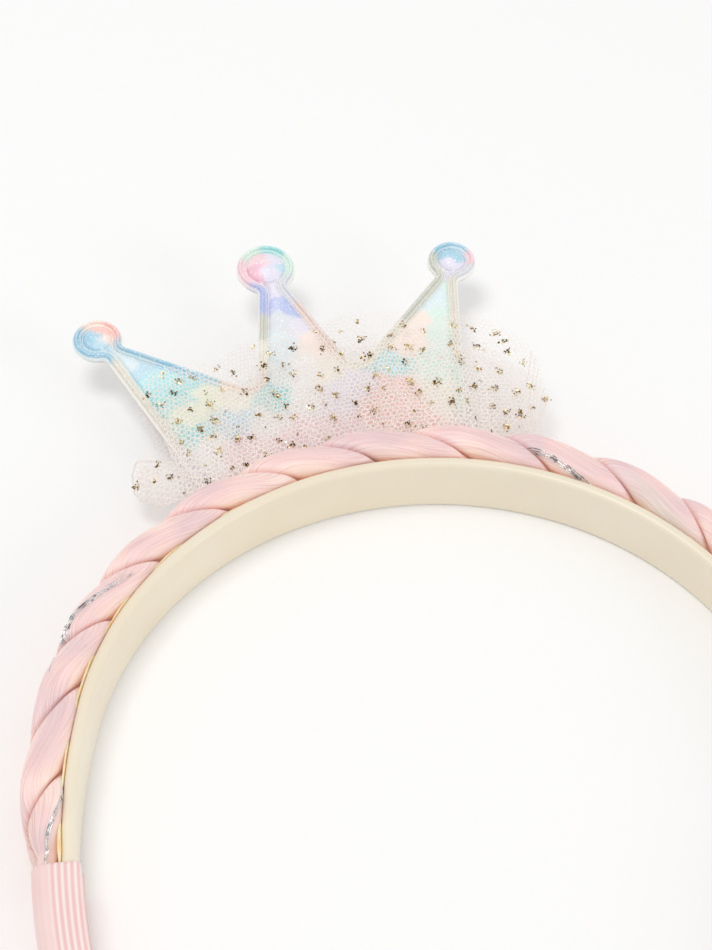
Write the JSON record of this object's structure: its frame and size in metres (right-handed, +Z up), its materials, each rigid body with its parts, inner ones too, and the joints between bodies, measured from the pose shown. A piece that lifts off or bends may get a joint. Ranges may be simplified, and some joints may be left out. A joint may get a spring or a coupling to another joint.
{
  "type": "child's crown headband",
  "caption": "Plastic hoop headband with a plaited hair trim, ribbon-wrapped ends, a puffy iridescent crown to one side of the top and a gathered net ruffle.",
  "frame": {"origin": "on the band's flat lower edge at the top of the hoop, midway through the band's thickness", "axes": "+Z up, across the band's width as it lies on its edge; +Y out of the top of the hoop, away from its open ends; +X to the right, seen from the open ends' side"},
  "size_m": [0.1374, 0.1732, 0.0142],
  "materials": {
    "band_plastic": "smooth moulded plastic, a soft sheen",
    "set_glue": "yellowed hot glue, glossy",
    "synthetic_hair": "fine straight fibre with a silky lengthwise shine",
    "grosgrain_ribbon": "ribbed satin ribbon",
    "iridescent_film": "embossed film that shifts from blue to pink and mint, with fine glitter",
    "white_felt": "plain pressed felt",
    "pink_net": "soft hexagonal net with gold flecks"
  },
  "bodies": {
    "root": {"band": "band_plastic", "glue_strip": "set_glue", "braid_strand_1": "synthetic_hair", "braid_strand_2": "synthetic_hair", "braid_strand_3": "synthetic_hair", "ribbon_wrap_left": "grosgrain_ribbon", "ribbon_wrap_right": "grosgrain_ribbon", "crown_front": "iridescent_film", "crown_backing": "white_felt", "tulle_front": "pink_net", "tulle_back": "pink_net"}
  },
  "joints": []
}
